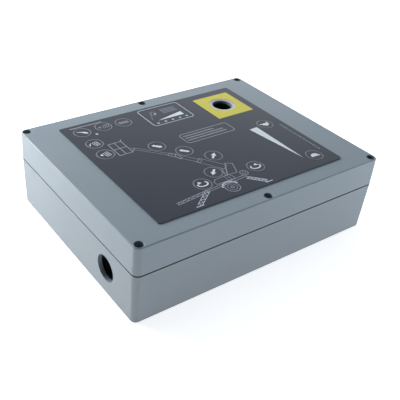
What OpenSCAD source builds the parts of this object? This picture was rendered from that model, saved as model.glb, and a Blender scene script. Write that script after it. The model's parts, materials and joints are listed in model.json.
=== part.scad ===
// Control box of a platform lift: a two-part moulded enclosure with a membrane keypad on its lid,
// a control board hung under the lid, and open holes for an emergency stop and a cable gland.
// X runs along the long front side, Y to the back, Z up. The origin is under the middle of the base.

/* [Enclosure] */
// Length of the box along X, at the parting line
box_w = 300; // [285:1:340]
// Depth of the box along Y, at the parting line
box_d = 230; // [218:1:260]
// Height of the base, up to the parting line
base_h = 56; // [52:1:90]
// Height of the lid, from the parting line to its top face
lid_h = 30; // [28:1:45]
// Thickness of the side walls
wall = 4.5; // [4.2:0.1:6]
// Thickness of the lid's top panel
panel_t = 3; // [2:0.5:4]
// Thickness of the base's floor
floor_t = 4; // [3:0.5:6]
// Radius of the upright corners, outside
corner_r = 7; // [5:0.5:9]
// Radius of the upright corners, inside
inner_corner_r = 3; // [2:0.5:5]
// Lean of the moulded walls, in degrees
draft_deg = 1; // [0.5:0.1:1.5]
// Rounding along the lid's top edge
lid_edge_r = 1.2; // [0.6:0.1:2]
// Rounding along the base's bottom edge
base_edge_r = 1; // [0.5:0.1:2]
// Height of the shadow groove under the lid's rim
groove_h = 1.2; // [0.6:0.1:1.6]
// Depth of the shadow groove
groove_depth = 1; // [0.6:0.1:1.1]
// Chamfer along the lid's bottom edge and at the mouths of the holes
edge_break = 0.3; // [0.2:0.05:0.4]

/* [Lid screws and seal] */
// Distance of the lid screws from the outer walls
screw_inset = 6.5; // [6:0.1:8]
// Thread diameter of the lid screws
screw_d = 4; // [3:0.1:4.5]
// Length of the screws below the parting line
screw_reach = 9.5; // [9:0.5:15]
// Diameter of the screw heads
head_d = 7.2; // [6.6:0.1:7.6]
// Height of the screw heads
head_h = 3.2; // [2.6:0.1:4]
// Diameter of the screw recesses in the lid
recess_d = 8.5; // [8:0.1:9]
// Depth of the screw recesses
recess_depth = 10; // [8:0.5:16]
// Thickness of the sealing washers under the heads
washer_t = 0.8; // [0.5:0.1:1.2]
// Outer diameter of the threaded inserts
insert_d = 5.8; // [5.6:0.1:6.4]
// Length of the threaded inserts
insert_l = 8; // [6:0.5:9]
// Thickness of the lid's lip outside the seal channel
lip_t = 1.3; // [1.2:0.1:1.6]
// Width of the seal channel in the lid
channel_w = 2; // [1.8:0.1:2.2]
// Depth of the seal channel
channel_depth = 5; // [4:0.5:7]
// Height of the base's tongue that presses on the gasket
tongue_h = 2.6; // [2:0.1:3.2]

/* [Keypad] */
// Length of the keypad along X
keypad_w = 228; // [220:1:234]
// Depth of the keypad along Y
keypad_d = 190; // [184:1:194]
// Radius of the keypad's corners
keypad_corner_r = 3; // [1:0.5:6]
// Thickness of the printed film on top
film_t = 0.3; // [0.2:0.05:0.4]
// Thickness of the spacer that the keys sink into
spacer_t = 0.5; // [0.45:0.05:0.8]
// Thickness of the circuit film at the bottom
circuit_t = 0.2; // [0.15:0.05:0.3]
// Diameter of the moving area of a key
key_d = 19.5; // [18:0.5:21]
// Height of the embossed rim on a key
rim_h = 0.15; // [0.1:0.05:0.3]
// Width of the embossed rim
rim_w = 1.2; // [0.8:0.1:2]
// Diameter of the metal snap domes under the keys
dome_d = 12; // [8:0.5:14]
// Length of the slot that the keypad's tail passes through
tail_slot_w = 24; // [20:0.5:30]
// Width of that slot
tail_slot_d = 3; // [2:0.5:5]

/* [Emergency stop and gland] */
// Diameter of the hole for the emergency stop
stop_hole_d = 22.3; // [22:0.1:22.8]
// Distance of that hole from the keypad's right edge
stop_from_right = 34; // [32:0.5:38]
// Distance of that hole from the keypad's back edge
stop_from_back = 35; // [33:0.5:38]
// Diameter of the window round it in the printed film and the label
stop_window_d = 30; // [28:0.5:32]
// Diameter of the hole round it in the two films below, which show as a pale ring
stop_seat_d = 24; // [23:0.5:28]
// Width of the yellow label around it
stop_label_w = 50; // [48:0.5:56]
// Depth of the yellow label, front to back
stop_label_d = 51; // [48:0.5:56]
// Thickness of the yellow label
stop_label_t = 0.15; // [0.1:0.05:0.3]
// Diameter of the hole for the cable gland
gland_hole_d = 27.8; // [20:0.1:32]
// Distance of the gland hole from the front of the box
gland_from_front = 50; // [45:1:120]
// Height of the gland hole above the bottom of the base
gland_h = 30; // [26:1:34]

/* [Mounting holes] */
// Distance of the mounting holes from the left and right walls' outsides
mount_inset_x = 25; // [21:1:60]
// Distance of the mounting holes from the front and back walls' outsides
mount_inset_y = 25; // [22:1:60]
// Diameter of the mounting holes
mount_hole_d = 5.5; // [4:0.5:8]

/* [Control board] */
// Length of the board along X
board_w = 166; // [160:1:170]
// Depth of the board along Y
board_d = 160; // [150:1:166]
// Thickness of the board
board_t = 1.6; // [1.2:0.2:2.4]
// Distance of the board's left edge from the middle of the box
board_reach = 118; // [114:1:122]
// Distance of the board's front edge from the middle of the box
board_front = 84; // [80:1:88]
// Length of the posts that hold the board under the lid
post_h = 10; // [9:0.5:12]
// Diameter of the posts
post_d = 8; // [6:0.5:10]
// Diameter of the board screws
board_screw_d = 3; // [2.5:0.1:3.5]
// Height of a relay
relay_h = 15.5; // [10:0.5:20]
// Height of a capacitor
capacitor_h = 14; // [10:0.5:20]
// Diameter of a capacitor
capacitor_d = 10; // [6:0.5:12]

/* [Hidden] */
$fn = 48;
// How far every cut runs past the face that it opens
overrun = 1;
// Radial clearance of the lid screws in their inserts
thread_fit = 0.05;
// Radial clearance of a washer round its screw
washer_fit = 0.15;
// Radial clearance of the screws in the lid
shank_clear = 0.25;
// Clearance between an insert and its hole
insert_fit = 0.02;
// Depth of the waist round an insert
insert_waist = 0.3;
// Side clearance of the tongue in the seal channel
tongue_clear = 0.3;
// Clearance of the gasket in the channel, and over the tongue
gasket_fit = 0.05;
// How far the seal line stays clear of a screw's own side of the wall
seal_margin = 0.4;
// Gap around a key, which the rim's shadow hides
key_gap = 0.2;
// Radius of the yellow label's corners
stop_label_r = 1;
// How far the label, put on by hand, sits to the left and to the front of the hole's middle
stop_label_left = 0.5;
stop_label_front = 1.2;
// Distance from the rim to the key's edge
rim_margin = 0.2;
// Gap between a dome's crown and the key above it
dome_gap = 0.05;
// Thickness of a dome's metal
dome_t = 0.12;
// Clearance of the hole under a screw's tip
tip_clear = 1.5;
// Depth and width of the cross in a screw head
cross_depth = 1.6;
cross_w = 1.1;
// Length of the cross as a share of the head
cross_share = 0.62;

lid_top = base_h + lid_h;
panel_under = lid_top - panel_t;
circuit_z = lid_top;
spacer_z = circuit_z + circuit_t;
film_z = spacer_z + spacer_t;
film_top = film_z + film_t;

mount_x = box_w / 2 - mount_inset_x;
mount_y = box_d / 2 - mount_inset_y;
stop_x = keypad_w / 2 - stop_from_right;
stop_y = keypad_d / 2 - stop_from_back;
gland_y = gland_from_front - box_d / 2;

// Lid screws: the four corners, and the middle of the front and back
screw_x = box_w / 2 - screw_inset;
screw_y = box_d / 2 - screw_inset;
screw_places = [for (sx = [-1, 0, 1]) for (sy = [-1, 1]) [sx * screw_x, sy * screw_y]];
// The seal runs inside the screws, on a bend of this radius around each
seal_bend_r = screw_inset + seal_margin;
column_r = seal_bend_r + wall - lip_t;
head_seat_z = lid_top - recess_depth + washer_t;
screw_l = head_seat_z - base_h + screw_reach;
shank_hole_r = screw_d / 2 + shank_clear;

// Keys and where they lie, as shares of the keypad's length and depth from its middle
KEYS = [
    "start", "horn", "cancel", "basket_left", "basket_right", "boom_out", "boom_in",
    "boom_up", "boom_down", "turn_left", "turn_right", "fast", "slow"
];
key_place_shares = [
    [-0.416, 0.409], [-0.302, 0.414], [-0.196, 0.404], [-0.417, 0.268], [-0.420, 0.145],
    [-0.182, 0.085], [-0.096, -0.026], [-0.006, -0.142], [-0.093, -0.274],
    [-0.189, -0.335], [0.101, -0.336], [0.404, -0.004], [0.405, -0.405]
];
// Indicator lights: one by the start key, six in the display window
led_place_shares = [
    [-0.363, 0.357], [-0.051, 0.302], [-0.008, 0.302], [0.034, 0.302], [0.076, 0.302],
    [0.117, 0.302], [-0.013, 0.408]
];
led_w = 3;
led_d = 2.2;
led_gap = 0.1;
led_window_d = 5;

// The tail leaves the circuit film behind the middle of the keypad
tail_place_share = [0, 0.18];
tail_x = tail_place_share.x * keypad_w;
tail_y = tail_place_share.y * keypad_d;
tail_side_clear = 2;
tail_w = tail_slot_w - 2 * tail_side_clear;
// How far the tail reaches into its socket
tail_grip = 3;

board_x = board_w / 2 - board_reach;
board_y = board_d / 2 - board_front;
board_top = panel_under - post_h;
board_under = board_top - board_t;
post_inset = 6;
board_corner_r = 2;
post_places = [
    for (sx = [-1, 0, 1]) for (sy = [-1, 1])
        [board_x + sx * (board_w / 2 - post_inset), board_y + sy * (board_d / 2 - post_inset)]
];
// Board screws: how deep they go into a post, and the sizes of their heads
board_screw_grip = 6;
board_head_d = 5.6;
board_head_h = 2.2;
board_hole_clear = 0.2;
pilot_fit = 0.05;

// Parts on the board, as shares of its length and depth from its middle
socket_d = 5;
socket_h = 6.5;
socket_wall = 1.5;
header_place_shares = [-0.27, -0.36];
header_w = 46;
header_d = 13;
header_h = 12;
header_wall = 1.2;
header_floor = 2;
pin_rows = 2;
pin_columns = 8;
pin_pitch = 5;
pin_w = 1;
pin_l = 7;
relay_w = 19;
relay_d = 15.2;
relay_edge = 0.8;
relay_place_shares = [[-0.32, 0.3], [-0.16, 0.3], [0, 0.3], [0.16, 0.3]];
capacitor_place_shares = [[0.36, 0.08], [0.36, -0.02], [0.36, -0.12]];
capacitor_groove = 0.5;
chip_w = 14;
chip_h = 1.5;
chip_place_shares = [0.06, -0.1];
chip_leads = 8;
lead_w = 0.4;
lead_l = 1.2;
lead_t = 0.3;
lead_pitch = 1.5;

// Whole microns, so that walls and corners drawn apart meet exactly
function microns(v) = round(1000 * v) / 1000;

// How far a leaning wall comes in over a height
function lean(h) = h * tan(draft_deg);

// Outline of one leaning wall: broken at the foot, leaning in, and rounded over at the top
function wall_points(reach, h, edge_r, foot) = concat(
    foot > 0 ? [[reach - foot, 0], [reach, foot]] : [[reach, 0]],
    edge_r > 0
        ? [for (a = [0 : 15 : 90])
            [reach - microns(lean(h) + edge_r * (1 - cos(a))), microns(h - edge_r * (1 - sin(a)))]]
        : [[reach - microns(lean(h)), h]]
);

function mirrored(points) = [for (i = [len(points) - 1 : -1 : 0]) [-points[i].x, points[i].y]];

// Section across a drafted block, seen along its length
module wall_section(half, h, edge_r, foot) {
    points = wall_points(half, h, edge_r, foot);
    polygon(concat(points, mirrored(points)));
}

// A block with rounded upright corners whose walls lean in as they rise
module drafted_block(w, d, h, r, edge_r = 0, foot = 0) {
    across_x = w - 2 * r;
    across_y = d - 2 * r;
    union() {
        rotate([90, 0, 90])
            linear_extrude(across_x, center = true)
                wall_section(d / 2, h, edge_r, foot);
        rotate([90, 0, 0])
            linear_extrude(across_y, center = true)
                wall_section(w / 2, h, edge_r, foot);
        for (quarter = [[1, 1, 0], [-1, 1, 90], [-1, -1, 180], [1, -1, 270]])
            translate([quarter.x * across_x / 2, quarter.y * across_y / 2, 0])
                rotate([0, 0, quarter.z])
                    rotate_extrude(angle = 90)
                        polygon(concat([[0, 0]], wall_points(r, h, edge_r, foot), [[0, h]]));
    }
}

// Cut for a round hole's chamfered mouth, which faces +Z at the origin
module hole_mouth(d) {
    translate([0, 0, -edge_break])
        cylinder(h = edge_break + overrun, d1 = d, d2 = d + 2 * (edge_break + overrun));
}

// Flat rectangle with round corners
module round_plate(w, d, r) {
    square([w - 2 * r, d], center = true);
    square([w, d - 2 * r], center = true);
    for (sx = [-1, 1])
        for (sy = [-1, 1])
            translate([sx * (w / 2 - r), sy * (d / 2 - r)])
                circle(r);
}

// Area inside the seal line, at a distance in from the outer walls
module seal_area(inset) {
    difference() {
        round_plate(box_w - 2 * inset, box_d - 2 * inset, corner_r);
        for (place = screw_places)
            translate(place)
                circle(seal_bend_r + inset - lip_t);
    }
}

// Band along the seal line between two distances from the outer walls
module seal_band(inset_out, inset_in, h) {
    linear_extrude(h)
        difference() {
            seal_area(inset_out);
            seal_area(inset_in);
        }
}

module at_screws() {
    for (place = screw_places)
        translate(place)
            children();
}

module at_keypad(place_shares) {
    for (place = place_shares)
        translate([place.x * keypad_w, place.y * keypad_d, 0])
            children();
}

module at_board(place_shares) {
    for (place = place_shares)
        translate([board_x + place.x * board_w, board_y + place.y * board_d, board_under])
            children();
}

// Hollow of a shell, drawn up from the parting line, with the screw columns left standing
module hollow(h) {
    difference() {
        translate([0, 0, -overrun])
            drafted_block(box_w - 2 * wall, box_d - 2 * wall, h + overrun, inner_corner_r);
        at_screws()
            translate([0, 0, -2 * overrun])
                cylinder(h = h + 3 * overrun, r = column_r);
    }
}

module base_shell() {
    tongue_out = lip_t + tongue_clear;
    tongue_in = lip_t + channel_w - tongue_clear;
    tongue_root = groove_h + overrun;
    tip_depth = screw_reach + tip_clear;
    color("#98a3ab")
        difference() {
            union() {
                translate([0, 0, base_h])
                    mirror([0, 0, 1])
                        difference() {
                            drafted_block(box_w, box_d, base_h, corner_r, base_edge_r);
                            hollow(base_h - floor_t);
                        }
                translate([0, 0, base_h - tongue_root])
                    seal_band(tongue_out, tongue_in, tongue_h + tongue_root);
            }
            // Shadow groove round the rim
            translate([0, 0, base_h - groove_h])
                linear_extrude(groove_h + overrun)
                    difference() {
                        square([box_w + overrun, box_d + overrun], center = true);
                        round_plate(box_w - 2 * groove_depth, box_d - 2 * groove_depth,
                            corner_r - groove_depth);
                    }
            at_screws() {
                translate([0, 0, base_h - insert_l])
                    cylinder(h = insert_l + overrun, d = insert_d + 2 * insert_fit);
                translate([0, 0, base_h - tip_depth])
                    cylinder(h = tip_depth - overrun, r = shank_hole_r);
            }
            translate([-box_w / 2 - overrun, gland_y, gland_h])
                rotate([0, 90, 0])
                    cylinder(h = wall + lean(base_h) + 2 * overrun, d = gland_hole_d);
            for (sx = [-1, 1])
                for (sy = [-1, 1])
                    translate([sx * mount_x, sy * mount_y, -overrun])
                        cylinder(h = floor_t + 2 * overrun, d = mount_hole_d);
        }
}

module screw_inserts() {
    outer_r = insert_d / 2 - insert_fit;
    waist_r = outer_r - insert_waist;
    third = insert_l / 3;
    bore_r = screw_d / 2 + thread_fit;
    color("#c9a84c")
        at_screws()
            translate([0, 0, base_h - insert_l])
                rotate_extrude()
                    polygon([
                        [bore_r, 0], [outer_r, 0], [outer_r, third], [waist_r, third],
                        [waist_r, 2 * third], [outer_r, 2 * third], [outer_r, insert_l],
                        [bore_r, insert_l]
                    ]);
}

module lid_shell() {
    pilot_depth = board_screw_grip + overrun;
    color("#8b99a4")
        difference() {
            translate([0, 0, base_h])
                drafted_block(box_w, box_d, lid_h, corner_r, lid_edge_r, edge_break);
            difference() {
                translate([0, 0, base_h])
                    hollow(lid_h - panel_t);
                for (place = post_places)
                    translate([place.x, place.y, board_top])
                        cylinder(h = post_h + overrun, d = post_d);
            }
            translate([0, 0, base_h - overrun])
                seal_band(lip_t, lip_t + channel_w, channel_depth + overrun);
            at_screws() {
                translate([0, 0, lid_top - recess_depth])
                    cylinder(h = recess_depth + overrun, d = recess_d);
                translate([0, 0, lid_top])
                    hole_mouth(recess_d);
                translate([0, 0, base_h - overrun])
                    cylinder(h = lid_h, r = shank_hole_r);
            }
            translate([stop_x, stop_y, panel_under - overrun])
                cylinder(h = panel_t + 2 * overrun, d = stop_hole_d, $fn = 96);
            translate([tail_x, tail_y, panel_under + panel_t / 2])
                cube([tail_slot_w, tail_slot_d, panel_t + 2 * overrun], center = true);
            for (place = post_places)
                translate([place.x, place.y, board_top - overrun])
                    cylinder(h = pilot_depth + overrun, r = board_screw_d / 2 + pilot_fit);
        }
}

module lid_gasket() {
    gasket_h = channel_depth - tongue_h - 2 * gasket_fit;
    color("#2c2f33")
        translate([0, 0, base_h + tongue_h + gasket_fit])
            seal_band(lip_t + gasket_fit, lip_t + channel_w - gasket_fit, gasket_h);
}

module lid_screws() {
    chamfer = screw_d / 8;
    tip_r = screw_d / 2 - chamfer;
    cross_l = head_d * cross_share;
    color("#3a3d40")
        at_screws()
            translate([0, 0, head_seat_z])
                difference() {
                    rotate_extrude()
                        polygon([
                            [0, -screw_l], [tip_r, -screw_l], [screw_d / 2, chamfer - screw_l],
                            [screw_d / 2, 0], [head_d / 2, 0], [head_d / 2, head_h - chamfer],
                            [head_d / 2 - chamfer, head_h], [0, head_h]
                        ]);
                    for (turn = [0, 90])
                        rotate([0, 0, turn])
                            translate([0, 0, head_h])
                                cube([cross_l, cross_w, 2 * cross_depth], center = true);
                }
}

module screw_washers() {
    outer_r = (head_d + recess_d) / 4;
    color("#222426")
        at_screws()
            translate([0, 0, head_seat_z - washer_t])
                difference() {
                    cylinder(h = washer_t, r = outer_r);
                    translate([0, 0, -overrun])
                        cylinder(h = washer_t + 2 * overrun, r = screw_d / 2 + washer_fit);
                }
}

// One layer of the keypad, with its hole for the emergency stop
module keypad_sheet(z, t, stop_d) {
    translate([0, 0, z])
        linear_extrude(t)
            difference() {
                round_plate(keypad_w, keypad_d, keypad_corner_r);
                translate([stop_x, stop_y])
                    circle(d = stop_d);
                children();
            }
}

module key_windows() {
    at_keypad(key_place_shares)
        circle(d = key_d + 2 * key_gap);
}

module keypad_circuit() {
    tail_end = board_top + socket_h - tail_grip;
    color("#7c878d")
        union() {
            keypad_sheet(circuit_z, circuit_t, stop_seat_d);
            translate([tail_x, tail_y, (circuit_z + circuit_t / 2 + tail_end) / 2])
                cube([tail_w, circuit_t, circuit_z + circuit_t / 2 - tail_end], center = true);
        }
}

module keypad_spacer() {
    color("#828d93")
        keypad_sheet(spacer_z, spacer_t, stop_seat_d) {
            key_windows();
            at_keypad(led_place_shares)
                circle(d = led_window_d);
        }
}

module keypad_film() {
    color("#4a4d57")
        keypad_sheet(film_z, film_t, stop_window_d)
            key_windows();
}

module stop_label() {
    color("#cfc63c")
        translate([stop_x, stop_y, film_top])
            linear_extrude(stop_label_t)
                difference() {
                    translate([-stop_label_left, -stop_label_front])
                        round_plate(stop_label_w, stop_label_d, stop_label_r);
                    circle(d = stop_window_d);
                }
}

module status_leds() {
    led_h = spacer_t - led_gap;
    color("#e8ecef")
        at_keypad(led_place_shares)
            translate([0, 0, spacer_z + led_h / 2])
                cube([led_w, led_d, led_h], center = true);
}

// Moving area of the printed film over one dome, with its embossed rim
module key(i) {
    rim_out = key_d / 2 - rim_margin;
    color("#5c6069")
        at_keypad([key_place_shares[i]])
            translate([0, 0, film_z]) {
                cylinder(h = film_t, d = key_d, $fn = 64);
                translate([0, 0, film_t / 2])
                    difference() {
                        cylinder(h = film_t / 2 + rim_h, r = rim_out, $fn = 64);
                        cylinder(h = film_t + rim_h, r = rim_out - rim_w, $fn = 64);
                    }
            }
}

// Spherical snap dome: a cap of this rise over its diameter
module dome(i) {
    rise = spacer_t - dome_gap;
    half = dome_d / 2;
    ball_r = (half * half + rise * rise) / (2 * rise);
    sweep = asin(half / ball_r);
    steps = 8;
    outer = [for (k = [0 : steps]) let (a = sweep * k / steps)
        [ball_r * sin(a), rise - ball_r * (1 - cos(a))]];
    inner = [for (k = [steps : -1 : 0]) let (a = sweep * k / steps, r = ball_r - dome_t)
        [r * sin(a), max(0, rise - ball_r + r * cos(a))]];
    color("#c8ccd0")
        at_keypad([key_place_shares[i]])
            translate([0, 0, spacer_z])
                rotate_extrude($fn = 40)
                    polygon(concat(outer, inner));
}

module control_board() {
    hole_r = board_screw_d / 2 + board_hole_clear;
    color("#2f6b46")
        difference() {
            translate([board_x, board_y, board_under])
                linear_extrude(board_t)
                    round_plate(board_w, board_d, board_corner_r);
            for (place = post_places)
                translate([place.x, place.y, board_under - overrun])
                    cylinder(h = board_t + 2 * overrun, r = hole_r);
        }
}

module board_screws() {
    shank_l = board_t + board_screw_grip;
    color("#b7babd")
        for (place = post_places)
            translate([place.x, place.y, board_under])
                difference() {
                    union() {
                        cylinder(h = shank_l, d = board_screw_d);
                        translate([0, 0, -board_head_h])
                            cylinder(h = board_head_h, d = board_head_d);
                    }
                    for (turn = [0, 90])
                        rotate([0, 0, turn])
                            translate([0, 0, -board_head_h])
                                cube([board_head_d * cross_share, cross_w, cross_depth], center = true);
                }
}

module tail_socket() {
    slot_d = circuit_t + 2 * key_gap;
    slot_depth = tail_grip + overrun;
    color("#e4e2da")
        translate([tail_x, tail_y, board_top])
            difference() {
                translate([0, 0, socket_h / 2])
                    cube([tail_slot_w + 2 * socket_wall, socket_d, socket_h], center = true);
                translate([0, 0, socket_h])
                    cube([tail_w + socket_wall, slot_d, 2 * slot_depth], center = true);
            }
}

module cable_header() {
    color("#e9e7df")
        at_board([header_place_shares])
            difference() {
                translate([0, 0, -header_h / 2])
                    cube([header_w, header_d, header_h], center = true);
                translate([0, 0, -header_h / 2 - header_floor])
                    cube([header_w - 2 * header_wall, header_d - 2 * header_wall, header_h],
                        center = true);
            }
}

module header_pins() {
    color("#d1b45a")
        at_board([header_place_shares])
            for (column = [0 : pin_columns - 1])
                for (row = [0 : pin_rows - 1])
                    translate([
                        (column - (pin_columns - 1) / 2) * pin_pitch,
                        (row - (pin_rows - 1) / 2) * pin_pitch,
                        -header_floor - pin_l / 2
                    ])
                        cube([pin_w, pin_w, pin_l], center = true);
}

module controller_chip() {
    stand_off = lead_t;
    color("#26282b")
        at_board([chip_place_shares]) {
            translate([0, 0, -stand_off - chip_h / 2])
                cube([chip_w, chip_w, chip_h], center = true);
            for (turn = [0 : 90 : 270])
                rotate([0, 0, turn])
                    for (lead = [0 : chip_leads - 1])
                        translate([
                            chip_w / 2 + lead_l / 4,
                            (lead - (chip_leads - 1) / 2) * lead_pitch,
                            -stand_off
                        ])
                            cube([lead_l * 1.5, lead_w, 2 * lead_t], center = true);
        }
}

module power_relays() {
    color("#2b4f86")
        at_board(relay_place_shares)
            union() {
                translate([0, 0, -relay_h / 2])
                    cube([relay_w - 2 * relay_edge, relay_d, relay_h], center = true);
                translate([0, 0, -relay_h / 2])
                    cube([relay_w, relay_d - 2 * relay_edge, relay_h - 2 * relay_edge], center = true);
            }
}

module capacitors() {
    r = capacitor_d / 2;
    color("#23262e")
        at_board(capacitor_place_shares)
            mirror([0, 0, 1])
                rotate_extrude()
                    polygon([
                        [0, 0], [r, 0], [r, capacitor_groove * 2],
                        [r - capacitor_groove, capacitor_groove * 3],
                        [r, capacitor_groove * 4], [r, capacitor_h - capacitor_groove],
                        [r - capacitor_groove, capacitor_h], [0, capacitor_h]
                    ]);
}

base_shell();
screw_inserts();
lid_shell();
lid_gasket();
lid_screws();
screw_washers();
keypad_circuit();
keypad_spacer();
keypad_film();
stop_label();
status_leds();
control_board();
board_screws();
tail_socket();
cable_header();
header_pins();
controller_chip();
power_relays();
capacitors();
for (i = [0 : len(KEYS) - 1]) {
    key(i);
    dome(i);
}
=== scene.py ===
"""Looks of a platform lift's control box: a grey moulded box, its printed keypad, and what is inside."""
import json
import math

import bmesh
import bpy
import numpy as np
from mathutils import Matrix, Vector

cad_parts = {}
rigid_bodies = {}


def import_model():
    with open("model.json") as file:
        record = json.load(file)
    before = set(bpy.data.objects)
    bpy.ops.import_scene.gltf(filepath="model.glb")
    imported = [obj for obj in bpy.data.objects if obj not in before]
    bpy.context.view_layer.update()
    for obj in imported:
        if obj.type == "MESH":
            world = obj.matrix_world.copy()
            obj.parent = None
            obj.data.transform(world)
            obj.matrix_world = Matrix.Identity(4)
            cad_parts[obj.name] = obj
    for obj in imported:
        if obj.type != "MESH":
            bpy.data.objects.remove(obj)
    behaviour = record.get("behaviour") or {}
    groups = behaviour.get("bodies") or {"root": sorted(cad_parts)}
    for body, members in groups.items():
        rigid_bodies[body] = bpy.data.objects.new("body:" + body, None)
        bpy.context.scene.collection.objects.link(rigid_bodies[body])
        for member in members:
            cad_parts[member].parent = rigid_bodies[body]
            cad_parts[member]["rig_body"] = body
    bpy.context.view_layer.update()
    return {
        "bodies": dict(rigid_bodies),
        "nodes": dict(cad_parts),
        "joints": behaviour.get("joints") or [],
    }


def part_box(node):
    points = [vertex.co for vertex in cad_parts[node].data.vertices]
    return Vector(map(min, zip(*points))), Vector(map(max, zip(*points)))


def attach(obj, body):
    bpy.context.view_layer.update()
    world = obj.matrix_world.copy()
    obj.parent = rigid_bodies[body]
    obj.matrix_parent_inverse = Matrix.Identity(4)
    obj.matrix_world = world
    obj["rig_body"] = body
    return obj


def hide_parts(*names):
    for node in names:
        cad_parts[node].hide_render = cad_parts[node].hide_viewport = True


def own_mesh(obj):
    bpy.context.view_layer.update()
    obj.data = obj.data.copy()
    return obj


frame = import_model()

NODES = frame["nodes"]
MM = 0.001

KEYS = [name for name in frame["bodies"] if name.startswith("key_")]
FILM_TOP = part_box("keypad_film")[1].z
FILM_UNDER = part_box("keypad_film")[0].z

# The camera, solved from the box's own straight edges
CAMERA_PLACE = (-0.3732, -0.4452, 0.4130)
CAMERA_AIM = (-0.0980, -0.0743, 0.0860)
CAMERA_ROLL = math.radians(4.0)
CAMERA_LENS_MM = 57.1
CAMERA_SENSOR_MM = 36.0
CAMERA_SHIFT = (0.0974, 0.0183)

# Printed ink is drawn thicker than it is, so that it stays clear of the film at any distance
INK_T = 0.03 * MM
# Neighbouring shapes of one print differ in thickness by this share, over so many shapes
INK_STEP = 0.12
INK_STEPS = 5

# Keys: the embossed rim's distance from the key's edge, its width, its height, and how finely it is turned
RIM_MARGIN = 0.25 * MM
RIM_W = 1.1 * MM
RIM_H = 0.11 * MM
KEY_SEGMENTS = 72
RIM_STEPS = 9
# The flat inside the rim, the bevel of the cut edge, and the printed ring's height over the rim and thickness
RIM_FLAT = 0.2 * MM
KEY_BEVEL = 0.03 * MM
RING_COVER = 0.02 * MM
RING_T = 0.04 * MM

# Points nearer than these are one point, in meshes made here and in copies of the CAD's
MERGE_OWN = 1e-7
MERGE_CAD = 1e-6
# Faces that meet at more than this stay sharp in a smoothed copy of the CAD
SHARP_TURN = math.radians(25)
# The least share of a line's width that a mitre is worked out for, so that sharp bends don't reach far out
LEAST_MITRE = 0.4
# Nearly all the values of a noise lie between these
NOISE_LOW, NOISE_HIGH = 0.3, 0.7
MICRONS_PER_MM = 1000
# The soft edge of a patch of colour
PATCH_EDGE = 0.5 * MM


def linear(hex_colour):
    """Linear RGBA of an sRGB hex value, by the sRGB curve's straight foot and its 2.4 power above that."""
    value = hex_colour.lstrip("#")
    channels = [int(value[i:i + 2], 16) / 255 for i in (0, 2, 4)]
    return [c / 12.92 if c <= 0.04045 else ((c + 0.055) / 1.055) ** 2.4 for c in channels] + [1.0]


def add(tree, kind, inputs=None, **settings):
    """A shader node of that kind with its settings, whose inputs take a value or a link from another node."""
    made = tree.nodes.new("ShaderNode" + kind)
    for name, value in settings.items():
        setattr(made, name, value)
    for name, value in (inputs or {}).items():
        if isinstance(value, bpy.types.NodeSocket):
            tree.links.new(value, made.inputs[name])
        else:
            made.inputs[name].default_value = value
    return made


# Places of the factor and the two colours among the inputs of a Mix node set to colours
MIX_FACTOR, MIX_A, MIX_B, MIX_RESULT = 0, 6, 7, 2


def surface(name, colour, roughness, mottle, tint, grain=(0.0, 0.5), rough_change=0.0, **shader):
    """A finish: its colour drifts over mottle's size, and its grain is a bump of grain's height and size.

    mottle is (share of the way to the tint, size in mm); grain is (height in microns, size in mm).
    """
    material = bpy.data.materials.new(name)
    material.use_nodes = True
    tree = material.node_tree
    tree.nodes.clear()
    place = add(tree, "TexCoord")
    finish = add(tree, "BsdfPrincipled", {"Base Color": linear(colour), "Roughness": roughness})
    for socket, value in shader.items():
        finish.inputs[socket.replace("_", " ")].default_value = value
    drift = add(tree, "TexNoise", {"Vector": place.outputs["Object"], "Scale": 1 / (mottle[1] * MM),
                                   "Detail": 3.0, "Roughness": 0.55})
    drift_range = {"Value": drift.outputs["Fac"], "From Min": NOISE_LOW, "From Max": NOISE_HIGH}
    share = add(tree, "MapRange", {**drift_range, "To Min": 0.0, "To Max": mottle[0]})
    blend = add(tree, "Mix", {MIX_FACTOR: share.outputs["Result"], MIX_A: linear(colour),
                              MIX_B: linear(tint)}, data_type="RGBA")
    tree.links.new(blend.outputs[MIX_RESULT], finish.inputs["Base Color"])
    if rough_change > 0:
        rough = add(tree, "MapRange", {**drift_range, "To Min": roughness - rough_change,
                                       "To Max": roughness + rough_change})
        tree.links.new(rough.outputs["Result"], finish.inputs["Roughness"])
    if grain[0] > 0:
        bits = add(tree, "TexNoise", {"Vector": place.outputs["Object"], "Scale": 1 / (grain[1] * MM),
                                      "Detail": 2.0, "Roughness": 0.6})
        bump = add(tree, "Bump", {"Height": bits.outputs["Fac"], "Strength": 1.0,
                                  "Distance": grain[0] * MM / MICRONS_PER_MM})
        tree.links.new(bump.outputs["Normal"], finish.inputs["Normal"])
    out = add(tree, "OutputMaterial")
    tree.links.new(finish.outputs["BSDF"], out.inputs["Surface"])
    return material


def lay_over(tree, shader, share, colour):
    """Mixes one more colour over a shader's own, by a share from another node."""
    under = shader.inputs["Base Color"].links[0].from_socket
    blend = add(tree, "Mix", {MIX_FACTOR: share, MIX_A: under, MIX_B: linear(colour)}, data_type="RGBA")
    tree.links.new(blend.outputs[MIX_RESULT], shader.inputs["Base Color"])


def round_patch(finish, middle, radius, colour):
    """Another colour on a finish, inside a radius of an upright axis, with a soft edge."""
    tree = finish.node_tree
    shader = tree.nodes["Principled BSDF"]
    place = add(tree, "TexCoord")
    flat = add(tree, "VectorMath", {0: place.outputs["Object"], 1: (1, 1, 0)}, operation="MULTIPLY")
    away = add(tree, "VectorMath", {0: flat.outputs["Vector"], 1: (*middle, 0)}, operation="DISTANCE")
    inside = add(tree, "MapRange", {"Value": away.outputs["Value"], "From Min": radius,
                                    "From Max": radius + PATCH_EDGE, "To Min": 1.0, "To Max": 0.0})
    lay_over(tree, shader, inside.outputs["Result"], colour)


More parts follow.
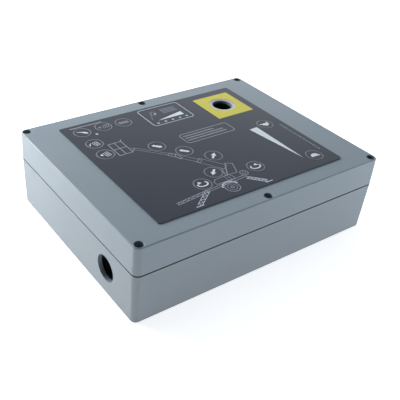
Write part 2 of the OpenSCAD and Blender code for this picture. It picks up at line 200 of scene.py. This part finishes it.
def paint_groove_shade(finish, low, high, colour):
    """Painted shade between two heights, on the walls that face away from the upright axis through the
    origin.
    """
    tree = finish.node_tree
    shader = tree.nodes["Principled BSDF"]
    place = add(tree, "TexCoord")
    height = add(tree, "SeparateXYZ", {0: place.outputs["Object"]})
    between = add(tree, "Math", {0: height.outputs["Z"], 1: (low + high) / 2, 2: (high - low) / 2},
                  operation="COMPARE")
    flat = add(tree, "VectorMath", {0: place.outputs["Object"], 1: (1, 1, 0)}, operation="MULTIPLY")
    facing = add(tree, "VectorMath", {0: flat.outputs["Vector"], 1: place.outputs["Normal"]},
                 operation="DOT_PRODUCT")
    outwards = add(tree, "Math", {0: facing.outputs["Value"], 1: 0.0}, operation="GREATER_THAN")
    both = add(tree, "Math", {0: between.outputs["Value"], 1: outwards.outputs["Value"]},
               operation="MULTIPLY")
    lay_over(tree, shader, both.outputs["Value"], colour)


def grid_faces(rows, columns, close_rows=False, close_columns=False):
    """Quads between neighbouring points of a grid, row by row, worked out as one array."""
    row, column = np.meshgrid(np.arange(rows if close_rows else rows - 1),
                              np.arange(columns if close_columns else columns - 1), indexing="ij")
    row_on, column_on = (row + 1) % rows, (column + 1) % columns
    corners = [row * columns + column, row_on * columns + column,
               row_on * columns + column_on, row * columns + column_on]
    return np.stack(corners, -1).reshape(-1, 4)


def piece(name, points, faces, body, finish, smooth=False):
    """A mesh in place, with its object at the origin, which rides on a body and has one finish."""
    mesh = bpy.data.meshes.new(name)
    mesh.from_pydata(np.asarray(points, float).tolist(), [], [list(map(int, f)) for f in faces])
    tidy = bmesh.new()
    tidy.from_mesh(mesh)
    bmesh.ops.remove_doubles(tidy, verts=tidy.verts, dist=MERGE_OWN)
    bmesh.ops.recalc_face_normals(tidy, faces=tidy.faces)
    tidy.to_mesh(mesh)
    tidy.free()
    mesh.polygons.foreach_set("use_smooth", np.full(len(mesh.polygons), smooth))
    mesh.materials.append(finish)
    made = bpy.data.objects.new(name, mesh)
    bpy.context.scene.collection.objects.link(made)
    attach(made, body)
    return made


def skin(node, finish):
    """A copy of a CAD node's triangles, merged where they meet, so that its roundings shade smoothly."""
    mesh = NODES[node].data.copy()
    work = bmesh.new()
    work.from_mesh(mesh)
    bmesh.ops.remove_doubles(work, verts=work.verts, dist=MERGE_CAD)
    work.to_mesh(mesh)
    work.free()
    if "custom_normal" in mesh.attributes:
        mesh.attributes.remove(mesh.attributes["custom_normal"])
    mesh.polygons.foreach_set("use_smooth", np.ones(len(mesh.polygons), bool))
    mesh.set_sharp_from_angle(angle=SHARP_TURN)
    mesh.materials.clear()
    mesh.materials.append(finish)
    made = bpy.data.objects.new(node + "_skin", mesh)
    bpy.context.scene.collection.objects.link(made)
    flats = made.modifiers.new("flats_stay_flat", "WEIGHTED_NORMAL")
    flats.keep_sharp = True
    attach(made, NODES[node]["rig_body"])
    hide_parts(node)
    return made


def dress(node, finish):
    """Gives a CAD node that stays as it is its finish."""
    mesh = NODES[node].data
    mesh.materials.clear()
    mesh.materials.append(finish)


def solid_middles(node):
    """Middle of each separate solid in a node, from left to right, found by walking its merged mesh."""
    work = bmesh.new()
    work.from_mesh(NODES[node].data)
    bmesh.ops.remove_doubles(work, verts=work.verts, dist=MERGE_CAD)
    left, found = set(work.verts), []
    while left:
        group, edge = set(), [left.pop()]
        while edge:
            point = edge.pop()
            group.add(point)
            for link in point.link_edges:
                other = link.other_vert(point)
                if other in left:
                    left.discard(other)
                    edge.append(other)
        co = np.array([v.co for v in group])
        found.append((co.min(0) + co.max(0)) / 2)
    work.free()
    return sorted(found, key=lambda middle: (round(middle[0], 4), round(middle[1], 4)))


# Flat shapes for printed ink, as points and faces in millimetres on the keypad

def arc(centre, radius, start, end, steps=24):
    """Points at an even turn along a circle, from one angle to another in degrees."""
    turn = np.radians(np.linspace(start, end, steps + 1))
    return np.stack([centre[0] + radius * np.cos(turn), centre[1] + radius * np.sin(turn)], -1)


def round_frame(left, front, right, back, radius):
    """Outline of a rectangle whose corners are quarter circles."""
    corners = [((right - radius, back - radius), 0), ((left + radius, back - radius), 90),
               ((left + radius, front + radius), 180), ((right - radius, front + radius), 270)]
    return np.concatenate([arc(middle, radius, start, start + 90, 6) for middle, start in corners])


def stroke(path, width, closed=False):
    """A printed line: a flat box section carried along a path, set square to the mitre of its two stretches.

    width is one number, or one for each point of the path.
    """
    path = np.asarray(path, float)
    widths = np.broadcast_to(np.asarray(width, float), len(path))
    ahead = np.roll(path, -1, 0) - path
    behind = path - np.roll(path, 1, 0)
    if not closed:
        ahead[-1], behind[0] = behind[-1], ahead[0]
    ahead /= np.linalg.norm(ahead, axis=1)[:, None]
    behind /= np.linalg.norm(behind, axis=1)[:, None]
    along = ahead + behind
    along /= np.linalg.norm(along, axis=1)[:, None]
    across = np.stack([-along[:, 1], along[:, 0]], -1)
    mitre = 1 / np.maximum(LEAST_MITRE, np.sum(along * ahead, 1))
    side = across * (widths / 2 * mitre)[:, None]
    low, high = np.zeros((len(path), 1)), np.ones((len(path), 1))
    points = np.stack([np.hstack([path + side, low]), np.hstack([path + side, high]),
                       np.hstack([path - side, high]), np.hstack([path - side, low])], 1).reshape(-1, 3)
    faces = grid_faces(len(path), 4, closed, True).tolist()
    if not closed:
        last = 4 * (len(path) - 1)
        faces += [[0, 1, 2, 3], [last + 3, last + 2, last + 1, last]]
    return points, faces


def filled(outline):
    """A printed area: its outline at the bottom and the top of the ink, closed by two faces and its side."""
    outline = np.asarray(outline, float)
    n = len(outline)
    points = np.concatenate([np.hstack([outline, np.zeros((n, 1))]), np.hstack([outline, np.ones((n, 1))])])
    side = [[i, (i + 1) % n, n + (i + 1) % n, n + i] for i in range(n)]
    return points, [list(range(n))[::-1], list(range(n, 2 * n))] + side


def placed(shapes, middle, turn=0.0):
    """Shapes turned by an angle in degrees and moved to a place."""
    c, s = math.cos(math.radians(turn)), math.sin(math.radians(turn))
    spin = np.array([[c, -s], [s, c]])
    return [(np.hstack([points[:, :2] @ spin.T + np.asarray(middle), points[:, 2:]]), faces)
            for points, faces in shapes]


def printed(name, shapes, body, finish):
    """One piece of ink out of many flat shapes, lying on the film.

    Neighbouring shapes differ a little in thickness, so that no two tops lie in one plane where they cross.
    """
    points, faces, count = [], [], 0
    for number, (shape_points, shape_faces) in enumerate(shapes):
        at = np.array(shape_points)
        at[:, :2] *= MM
        at[:, 2] = FILM_TOP + at[:, 2] * INK_T * (1 + INK_STEP * (number % INK_STEPS))
        points.append(at)
        faces += [[count + i for i in face] for face in shape_faces]
        count += len(at)
    return piece(name, np.concatenate(points), faces, body, finish)


def arrow(start, end, shaft, head, head_l):
    """Outline of a straight arrow with a shaft and a head of those widths."""
    start, end = np.array(start, float), np.array(end, float)
    along = (end - start) / np.linalg.norm(end - start)
    across = np.array([-along[1], along[0]])
    neck = end - along * head_l
    return filled([start + across * shaft / 2, neck + across * shaft / 2, neck + across * head / 2, end,
                   neck - across * head / 2, neck - across * shaft / 2, start - across * shaft / 2])


# A bar that the end of its row cuts shorter than this is left out, in millimetres
SHORTEST_BAR = 0.4


def bar_row(start, end, height, lengths, gap):
    """A row of short plain bars, in the place of a line of small print, repeating a few lengths."""
    start, end = np.array(start, float), np.array(end, float)
    whole = np.linalg.norm(end - start)
    along = (end - start) / whole
    shapes, reached, i = [], 0.0, 0
    while reached < whole:
        length = min(lengths[i % len(lengths)], whole - reached)
        if length > SHORTEST_BAR:
            shapes.append(stroke([start + along * reached, start + along * (reached + length)], height))
        reached += length + gap
        i += 1
    return shapes


# Finishes

# Injection-moulded ABS: a fine spark-eroded texture, so the light spreads softly with no sharp reflection
LID_PLASTIC = surface("moulded_abs_lid", "#7F8B93", 0.36, mottle=(0.5, 70.0), grain=(20.0, 0.8),
                      rough_change=0.03, tint="#869199")
BASE_PLASTIC = surface("moulded_abs_base", "#808A91", 0.40, mottle=(0.5, 60.0), grain=(22.0, 0.8),
                       rough_change=0.03, tint="#879097")
# Painted shade: the walls of the groove just under the lid's rim are darkened, standing in for the shadow in
# the groove
RIM_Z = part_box("lid_shell")[0].z
GROOVE_H = 1.2 * MM
paint_groove_shade(BASE_PLASTIC, RIM_Z - GROOVE_H, RIM_Z, "#2E3236")
# Hard-coated polyester film, printed on its back: an even dark face under a satin coat
FILM = surface("satin_polyester_film", "#13172A", 0.34, mottle=(0.6, 45.0), grain=(2.5, 0.6),
               rough_change=0.04, tint="#171B2E", Specular_IOR_Level=0.4)
KEY_FILM = surface("satin_polyester_key", "#121628", 0.32, mottle=(0.6, 18.0), grain=(2.5, 0.6),
                   rough_change=0.03, tint="#161A2C", Specular_IOR_Level=0.4)
# Screen-printed inks: white for the signs, greys for lines and rims, all flat and slightly matt
WHITE_INK, PALE_INK, GREY_INK, RING_INK = (
    surface(name, colour, 0.45, mottle=(0.5, 4.0), grain=(1.5, 0.4), tint=tint)
    for name, colour, tint in (("white_screen_ink", "#DCE3E8", "#CFD7DD"),
                               ("pale_grey_screen_ink", "#BEC4CC", "#B2B9C2"),
                               ("grey_screen_ink", "#9499A4", "#898E99"),
                               ("dark_grey_screen_ink", "#717680", "#6A6F79")))
# Self-adhesive vinyl, an even signal yellow
YELLOW_VINYL = surface("yellow_vinyl_label", "#D2C522", 0.42, mottle=(0.5, 25.0), grain=(2.0, 0.5),
                       tint="#CDC62C")
# Clear windows in the print over the indicator lights: unlit, they show the pale lamp behind
LAMP_WINDOW = surface("frosted_lamp_window", "#A4ABB4", 0.3, mottle=(0.5, 1.5), tint="#B4BBC3",
                      Coat_Weight=0.3)


# The two halves of the box

skin("base_shell", BASE_PLASTIC)
skin("lid_shell", LID_PLASTIC)

# The keypad's film and keys

dress("keypad_film", FILM)
dress("stop_label", YELLOW_VINYL)


def turned_disc(middle, profile, name, body, finish):
    """A closed profile of (radius, height) carried round an upright axis through middle."""
    profile = np.asarray(profile, float)
    turn = np.linspace(0, 2 * math.pi, KEY_SEGMENTS, endpoint=False)[:, None]
    points = np.stack([middle[0] + profile[:, 0] * np.cos(turn), middle[1] + profile[:, 0] * np.sin(turn),
                       np.broadcast_to(profile[:, 1], (KEY_SEGMENTS, len(profile)))], -1).reshape(-1, 3)
    faces = grid_faces(KEY_SEGMENTS, len(profile), True, False)
    return piece(name, points, faces, body, finish, smooth=True)


def key_disc(name):
    """The moving area of the film over one dome: flat inside, an embossed rim, and a thin cut edge.

    The rim's section is one whole wave of a cosine, up from the film and down to it again.
    """
    low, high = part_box(name)
    middle = (low + high) / 2
    edge_r = (high.x - low.x) / 2
    rim_in = edge_r - RIM_MARGIN - RIM_W
    share = np.linspace(0, 1, RIM_STEPS)
    rim = list(zip(rim_in + share * RIM_W, FILM_TOP + RIM_H * (0.5 - 0.5 * np.cos(2 * math.pi * share))))
    top = [(0.0, FILM_TOP), (rim_in / 2, FILM_TOP), (rim_in - RIM_FLAT, FILM_TOP)] + rim
    top += [(edge_r - KEY_BEVEL, FILM_TOP), (edge_r, FILM_TOP - KEY_BEVEL)]
    under = [(edge_r, FILM_UNDER), (rim_in, FILM_UNDER), (0.0, FILM_UNDER)]
    disc = turned_disc(middle, top + under, name + "_disc", name, KEY_FILM)
    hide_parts(name)
    # The printed ring lies over the rim and follows its section
    cover = [(r, z + RING_COVER) for r, z in rim]
    ring = cover + [(r, z - RING_T) for r, z in cover[::-1]]
    ring.append(ring[0])
    turned_disc(middle, ring, name + "_ring", name, RING_INK)
    return middle / MM


KEY_MIDDLE = {name[len("key_"):]: key_disc(name) for name in KEYS}


# Signs on the keys, in millimetres from the key's middle

BOOM_TURN = -44.0


def swept(radii, start, end, steps=20):
    """Points along part of an ellipse, which is a circle seen at a slant."""
    return arc((0, 0), 1, start, end, steps) * np.asarray(radii, float)


SIGNS = {
    "start": [stroke([(-4.8, 3.4), (-2.6, 2.2), (-0.2, 0.9), (2.0, -0.8), (3.8, -2.6), (5.2, -4.0)],
                     [0.7, 1.0, 1.6, 3.0, 2.6, 0.7])],
    "horn": [filled([(-7.0, -0.8), (-5.2, -0.8), (-2.8, -2.6), (-2.8, 2.6), (-5.2, 0.8), (-7.0, 0.8)])]
            + [stroke([(x - 1.4, -3.6), (x + 1.4, 4.4)], 0.9) for x in (0.4, 2.5, 4.6, 6.6)],
    "cancel": [arrow((5.8, -0.2), (-6.8, 0.2), 4.6, 7.0, 3.4)],
    "basket_left": [stroke([(-6.4, -1.8), (-5.0, 0.4), (-3.0, 2.6)], [1.5, 0.9, 0.6])],
    "basket_right": [filled([(-6.2, 0.2), (-3.0, 2.4), (-3.0, -2.2)])],
    "boom_out": placed([arrow((-0.6, 0), (-5.9, 0), 2.8, 4.6, 3.0),
                        arrow((-0.6, 0), (5.9, 0), 3.4, 5.2, 3.2)], (0, 0), BOOM_TURN),
    "boom_in": placed([arrow((0.6, 0), (-5.7, 0), 3.4, 5.2, 3.2),
                       arrow((0.6, 0), (5.7, 0), 2.8, 4.6, 3.0)], (0, 0), BOOM_TURN),
    "boom_up": placed([arrow((-5.4, 0), (6.0, 0), 2.4, 5.8, 5.8)], (0, 0), 45),
    "boom_down": placed([arrow((5.8, 0), (-5.2, 0), 2.4, 5.8, 5.2)], (0, 0), 45),
    "turn_left": [stroke(swept((5.6, 3.6), 45, -200), 1.6), filled([(-2.6, 5.2), (0.4, 2.2), (-4.6, 0.8)])],
    "turn_right": [stroke(swept((5.6, 3.6), 135, 380), 1.6), filled([(2.6, 5.2), (-0.4, 2.2), (4.6, 0.8)])],
    "fast": [filled(swept((4.4, 2.5), 0, 360)[:-1] + [0.8, -0.4]),
             stroke([(-1.6, 0.2), (-3.8, 1.2), (-6.0, 2.4)], [2.6, 2.0, 0.9]),
             stroke([(4.2, 0.6), (4.8, 2.6), (4.4, 4.2)], [1.8, 1.4, 0.6]),
             stroke([(0.6, -2.0), (0.0, -4.2), (1.2, -4.6)], [1.4, 1.1, 0.7])],
    "slow": [filled(np.vstack([arc((0, 0), 1, 0, 180, 16) * [5.0, 4.6], [(-5.6, -0.6), (5.8, -1.2)]])
                    + [0.0, -1.6]),
             stroke([(3.6, -2.2), (5.6, -2.6)], [1.4, 1.0])],
}
CAGE_SIGN = [stroke([(x, -3.6), (x, 3.6)], 0.45) for x in (-2.7, 0.0, 2.7)]
CAGE_SIGN += [stroke([(-3.0, y), (3.0, y)], 0.45) for y in (-3.6, -1.2, 1.2, 3.6)]
SIGNS["basket_left"] += placed(CAGE_SIGN, (1.6, -0.6), 14)
SIGNS["basket_right"] += placed(CAGE_SIGN, (1.8, -0.4), 14)
DIM_SIGNS = ("horn", "cancel")

for key, shapes in SIGNS.items():
    printed(f"key_{key}_sign", placed(shapes, KEY_MIDDLE[key][:2]), f"key_{key}",
            RING_INK if key in DIM_SIGNS else WHITE_INK)


# Ink on the fixed film, in millimetres from the keypad's middle. None of it reaches over a key, which moves.

DISPLAY = (-18.8, 52.9, 34.6, 91.3)
PANEL_ROWS = (-8.8, 5.4, 54.6, 24.0)
PRINT_LENGTHS = (1.5, 1.1, 2.0, 1.3, 2.4, 1.2)

frame_lines = [stroke(round_frame(*DISPLAY, 4.0), 0.9, closed=True)]
wedges = [filled([(-8.2, 62.6), (26.3, 62.4), (26.3, 69.8)]),
          filled([(68.2, -2.4), (78.3, -75.0), (79.0, -1.6)])]
small_frame = [stroke(round_frame(*PANEL_ROWS, 3.2), 0.9, closed=True)]
small_print = []
for y, end_x in ((19.4, 35.0), (15.0, 44.6), (10.6, 46.0)):
    small_print += bar_row((-5.8, y), (end_x, y), 1.7, PRINT_LENGTHS, 0.45)
small_print += bar_row((-103.6, 89.4), (-64.8, 89.4), 1.6, PRINT_LENGTHS[2:] + PRINT_LENGTHS[:2], 0.35)
small_print += bar_row((107.0, -9.0), (107.0, -70.5), 1.6, PRINT_LENGTHS[1:], 1.25)
faint_print = [bar for y in (83.4, 80.6, 77.8, 75.0)
               for bar in bar_row((6.6, y), (25.4, y), 1.7, PRINT_LENGTHS[2:], 0.4)]
faint_print.append(stroke([(-13.5, 66.0), (-9.5, 74.8), (-3.6, 84.0)], 0.8))
faint_print.append(stroke(swept((4.4, 4.4), 20, 290) + [-4.4, 78.4], 0.7))


def boom_section(start, end, width):
    """Outline of one telescoping section: a rectangle of that width from one end to the other."""
    start, end = np.array(start, float), np.array(end, float)
    along = (end - start) / np.linalg.norm(end - start)
    across = np.array([-along[1], along[0]]) * width / 2
    return stroke([start + across, end + across, end - across, start - across], 0.5, closed=True)


def lattice(start, end, width, bays, line=0.6):
    """Two rails with a zigzag between them, as on a drawbar or a leg."""
    start, end = np.array(start, float), np.array(end, float)
    along = (end - start) / np.linalg.norm(end - start)
    across = np.array([-along[1], along[0]]) * width / 2
    zigzag = [start + (end - start) * i / bays + across * (1 if i % 2 else -1) for i in range(bays + 1)]
    return [stroke([start + across, end + across], line), stroke([start - across, end - across], line),
            stroke(zigzag, line)]


# A plain trailer lift in outline: cage, telescoping boom, mast, turntable, chassis, wheel, drawbar and legs
CAGE = (-84.3, 18.6, -69.0, 42.6)
cage_lines = [
    stroke([(CAGE[0], CAGE[1]), (CAGE[2], CAGE[1]), (CAGE[2], CAGE[3]), (CAGE[0], CAGE[3])], 0.9,
           closed=True),
    stroke([(-77.0, CAGE[1]), (-77.0, CAGE[3])], 0.8), stroke([(CAGE[0], 30.8), (CAGE[2], 30.8)], 0.8),
    stroke([(-69.6, 42.4), (-67.1, 46.0)], 0.9),
    stroke([(-69.0, 18.8), (-64.6, 23.4), (-67.2, 26.6)], 0.7),
]
WHEEL = (-21.2, -81.4)
lift_lines = [
    boom_section((-64.8, 23.0), (-37.4, -5.2), 3.4),
    boom_section((-40.1, -2.6), (-19.1, -29.8), 5.4),
    boom_section((-20.8, -26.6), (-4.4, -50.2), 8.0),
    stroke([(-36.6, -8.6), (-33.4, -5.4), (-31.6, -15.0), (-35.0, -16.0)], 0.7, closed=True),
    stroke([(-12.4, -62.6), (-0.6, -44.2), (6.0, -48.0), (-0.4, -63.0)], 0.7, closed=True),
    stroke([(-0.2, -43.6), (-11.0, -61.6)], 0.6), stroke([(-9.6, -50.6), (-14.2, -62.9)], 0.7),
    stroke([(-31.6, -71.0), (-31.6, -66.4), (-28.2, -63.4), (-10.8, -62.4), (-9.0, -65.4), (-8.6, -71.0)],
           0.7, closed=True),
    stroke([(-17.0, -63.0), (-17.0, -70.6)], 0.5), stroke([(-13.2, -63.0), (-13.2, -70.6)], 0.5),
    stroke(swept((4.2, 4.2), 0, 360)[:-1] + [4.8, -67.4], 0.7, closed=True),
    stroke([(2.6, -67.4), (4.8, -65.2), (7.0, -67.4), (4.8, -69.6)], 0.5, closed=True),
    stroke([(-44.8, -74.2), (2.4, -70.4), (2.4, -73.4), (-44.8, -76.8)], 0.7, closed=True),
]
lift_lines += [stroke(arc(WHEEL, radius, 0, 360, 40)[:-1], width, closed=True)
               for radius, width in ((7.6, 0.8), (4.8, 0.5), (1.6, 0.8))]
mudguard = [stroke(arc(WHEEL, 9.4, 20, 160, 24), 1.8)]
lift_lines += lattice((-83.4, -79.2), (-45.4, -75.4), 3.2, 13, 0.65)
leg_lines = lattice((-45.6, -75.0), (-66.6, -90.4), 4.0, 9)
leg_lines += lattice((1.6, -75.4), (15.8, -89.6), 3.6, 6, 1.0)
leg_lines += [stroke([(-71.0, -91.4), (-62.6, -91.4)], 1.2), stroke([(12.6, -91.2), (20.8, -91.2)], 1.3)]

printed("ink_display_frame", frame_lines, "lid", PALE_INK)
printed("ink_wedges", wedges, "lid", WHITE_INK)
printed("ink_small_frame", small_frame, "lid", GREY_INK)
printed("ink_small_print", small_print, "lid", GREY_INK)
printed("ink_faint_print", faint_print, "lid", RING_INK)
printed("ink_cage", cage_lines, "lid", GREY_INK)
printed("ink_lift", lift_lines, "lid", GREY_INK)
printed("ink_mudguard", mudguard, "lid", PALE_INK)
printed("ink_legs", leg_lines, "lid", PALE_INK)

LAMP_R = 1.6
lamps = [filled(arc((middle[0] / MM, middle[1] / MM), LAMP_R, 0, 360, 20)[:-1])
         for middle in solid_middles("status_leds")]
printed("lamp_windows", lamps, "lid", LAMP_WINDOW)


# Pieces inside and between, which keep their CAD shape

SPACER_FILM = surface("grey_spacer_film", "#7C878D", 0.5, mottle=(0.5, 12.0), tint="#747F86")
# Round the stop hole the spacer is bare and shows its own pale grey
STOP_AXIS = (0.08, 0.06)
BARE_R = 16 * MM
round_patch(SPACER_FILM, STOP_AXIS, BARE_R, "#C9CCD6")

OTHER_FINISHES = {
    # The spacer and circuit films, both grey: the cut edge round the keypad is like the lid
    "keypad_spacer": SPACER_FILM,
    "keypad_circuit": surface("grey_circuit_film", "#727D84", 0.35, mottle=(0.6, 15.0), tint="#6A757C"),
    # Clear epoxy lamps
    "status_leds": surface("clear_epoxy_lamp", "#DDE3E8", 0.15, mottle=(0.4, 2.0), tint="#C9D2DA"),
    # Solder mask over the board's copper: glossy green
    "control_board": surface("green_solder_mask", "#1F6A3E", 0.25, mottle=(0.7, 3.0), grain=(20.0, 1.6),
                             tint="#17583A"),
    # Moulded nylon connectors, ivory
    "tail_socket": surface("ivory_nylon_socket", "#DEDACB", 0.45, mottle=(0.5, 8.0), tint="#D2CDBB"),
    "cable_header": surface("ivory_nylon_header", "#E2DECF", 0.45, mottle=(0.5, 8.0), tint="#D5D0BE"),
    # Tinned brass contact pins
    "header_pins": surface("tinned_brass_pins", "#D6C07A", 0.25, mottle=(0.5, 2.0), tint="#C4CBCF",
                           Metallic=1.0),
    # Moulded epoxy of the chip, dull black
    "controller_chip": surface("black_moulded_epoxy", "#1B1C1F", 0.6, mottle=(0.4, 3.0), grain=(12.0, 0.3),
                               tint="#222327"),
    # Relay cases, moulded blue polyester
    "power_relays": surface("blue_relay_polyester", "#1E3F7A", 0.35, mottle=(0.4, 9.0), grain=(5.0, 0.5),
                            tint="#274B88"),
}
for node, finish in OTHER_FINISHES.items():
    dress(node, finish)

# Stamped spring steel domes, bright
DOME_STEEL = surface("bright_spring_steel", "#B9BCC0", 0.22, mottle=(0.5, 5.0), tint="#A6A9AE", Metallic=1.0)
for joint in frame["joints"]:
    if joint["name"].startswith("press_"):
        # A dome under each key with a press joint gets a mesh of its own; it keeps its CAD shape here, though
        # a pressed dome flattens under its key, to just under the key's lowest place
        dome = joint["name"].replace("press_", "dome_")
        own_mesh(skin(dome, DOME_STEEL))

# Round pieces: blackened screws, zinc-plated screws, brass inserts, rubber, foam and shrink sleeve
skin("lid_screws", surface("black_zinc_screw", "#2A2C30", 0.38, mottle=(0.6, 2.0), tint="#3A3C40",
                           Metallic=0.8))
skin("board_screws", surface("zinc_plated_screw", "#B4B8BC", 0.3, mottle=(0.5, 2.0), tint="#A0A5AB",
                             Metallic=1.0))
skin("screw_inserts", surface("turned_brass", "#B8923E", 0.28, mottle=(0.5, 3.0), tint="#A07C30",
                              Metallic=1.0))
skin("screw_washers", surface("black_rubber", "#17181A", 0.7, mottle=(0.5, 3.0), grain=(8.0, 0.4),
                              tint="#202124"))
skin("lid_gasket", surface("closed_cell_foam", "#1E2023", 0.85, mottle=(0.5, 2.0), grain=(60.0, 0.7),
                           tint="#2A2C30"))
skin("capacitors", surface("black_shrink_sleeve", "#1C1F27", 0.3, mottle=(0.5, 6.0), tint="#262A34"))


# Floor, light and camera

FLOOR_REACH = 6.0
FLOOR_SINK = 0.05 * MM
FLOOR_POINTS = 5
FLOOR_GLOW = 0.72
ROOM_BRIGHT_WAY = (0.45, 0.85, 0.25)
# The room turns from dark to bright between these cosines of the angle to its bright way
ROOM_TURN = (-0.15, 0.65)
ROOM_BRIGHT = (0.80, 0.88, 0.97, 1.0)
ROOM_DARK = (0.06, 0.065, 0.07, 1.0)
ROOM_SEEN = (0.84, 0.87, 0.90, 1.0)


def aimed(place, aim, roll=0.0):
    """Matrix of an object at place that looks along its own -Z at aim, with its top up, then rolled."""
    look = Vector(aim) - Vector(place)
    turn = look.to_track_quat("-Z", "Y").to_matrix() @ Matrix.Rotation(roll, 3, "Z")
    matrix = turn.to_4x4()
    matrix.translation = Vector(place)
    return matrix


def soft_light(name, place, aim, size, power, colour):
    """A rectangular softbox with a width and a height, at place and facing aim."""
    data = bpy.data.lights.new(name, "AREA")
    data.shape = "RECTANGLE"
    data.size, data.size_y = size
    data.energy = power
    data.color = linear(colour)[:3]
    made = bpy.data.objects.new(name, data)
    made.matrix_world = aimed(place, aim)
    bpy.context.scene.collection.objects.link(made)


def floor():
    """A wide level sheet of pale paper just under the box."""
    side = np.linspace(-FLOOR_REACH, FLOOR_REACH, FLOOR_POINTS)
    x, y = np.meshgrid(side, side, indexing="ij")
    points = np.stack([x, y, np.full_like(x, -FLOOR_SINK)], -1).reshape(-1, 3)
    mesh = bpy.data.meshes.new("floor")
    mesh.from_pydata(points.tolist(), [], grid_faces(FLOOR_POINTS, FLOOR_POINTS).tolist())
    # Matt white paper on a lit table, with a faint drift in tone
    mesh.materials.append(surface("white_paper", "#F4F5F6", 0.85, mottle=(0.5, 400.0), tint="#EFF1F3",
                                  Emission_Color=linear("#FFFFFF"), Emission_Strength=FLOOR_GLOW))
    made = bpy.data.objects.new("floor", mesh)
    bpy.context.scene.collection.objects.link(made)


def room():
    """A studio that is bright behind the box and dark on the camera's side, by direction."""
    world = bpy.data.worlds.new("studio")
    bpy.context.scene.world = world
    world.use_nodes = True
    tree = world.node_tree
    tree.nodes.clear()
    place = add(tree, "TexCoord")
    along = add(tree, "VectorMath", {0: place.outputs["Generated"], 1: Vector(ROOM_BRIGHT_WAY).normalized()},
                operation="DOT_PRODUCT")
    share = add(tree, "MapRange", {"Value": along.outputs["Value"], "From Min": ROOM_TURN[0],
                                   "From Max": ROOM_TURN[1]}, interpolation_type="SMOOTHSTEP")
    shade = add(tree, "Mix", {MIX_FACTOR: share.outputs["Result"], MIX_A: ROOM_DARK, MIX_B: ROOM_BRIGHT},
                data_type="RGBA")
    # The camera itself sees an even pale backdrop past the floor, from any side
    ray = add(tree, "LightPath")
    seen = add(tree, "Mix", {MIX_FACTOR: ray.outputs["Is Camera Ray"], MIX_A: shade.outputs[MIX_RESULT],
                             MIX_B: ROOM_SEEN}, data_type="RGBA")
    glow = add(tree, "Background", {"Color": seen.outputs[MIX_RESULT], "Strength": 1.0})
    out = add(tree, "OutputWorld")
    tree.links.new(glow.outputs["Background"], out.inputs["Surface"])


def camera():
    """The camera at the photographed angle."""
    data = bpy.data.cameras.new("camera")
    data.sensor_width = CAMERA_SENSOR_MM
    data.lens = CAMERA_LENS_MM
    data.shift_x, data.shift_y = CAMERA_SHIFT
    made = bpy.data.objects.new("camera", data)
    made.matrix_world = aimed(CAMERA_PLACE, CAMERA_AIM, CAMERA_ROLL)
    bpy.context.scene.collection.objects.link(made)
    bpy.context.scene.camera = made


floor()
room()
# Each softbox: its name, place, aim, width and height in metres, power in watts and colour
SOFTBOXES = (
    ("back_left_softbox", (-0.40, 0.46, 0.24), (-0.14, 0.10, 0.03), (0.34, 0.28), 2.7, "#FFFFFF"),
    ("back_softbox", (-0.30, 0.90, 0.72), (-0.05, 0.05, 0.08), (0.7, 0.4), 5.5, "#FFFFFF"),
    ("back_right_softbox", (0.62, 0.80, 0.30), (0.08, 0.05, 0.08), (0.8, 0.25), 0.7, "#FFFFFF"),
    ("low_right_fill", (0.80, -0.60, 0.10), (0.12, -0.1, 0.03), (0.4, 0.2), 3.6, "#E2ECF8"),
)
for softbox in SOFTBOXES:
    soft_light(*softbox)
camera()
bpy.context.scene.view_settings.view_transform = "Standard"
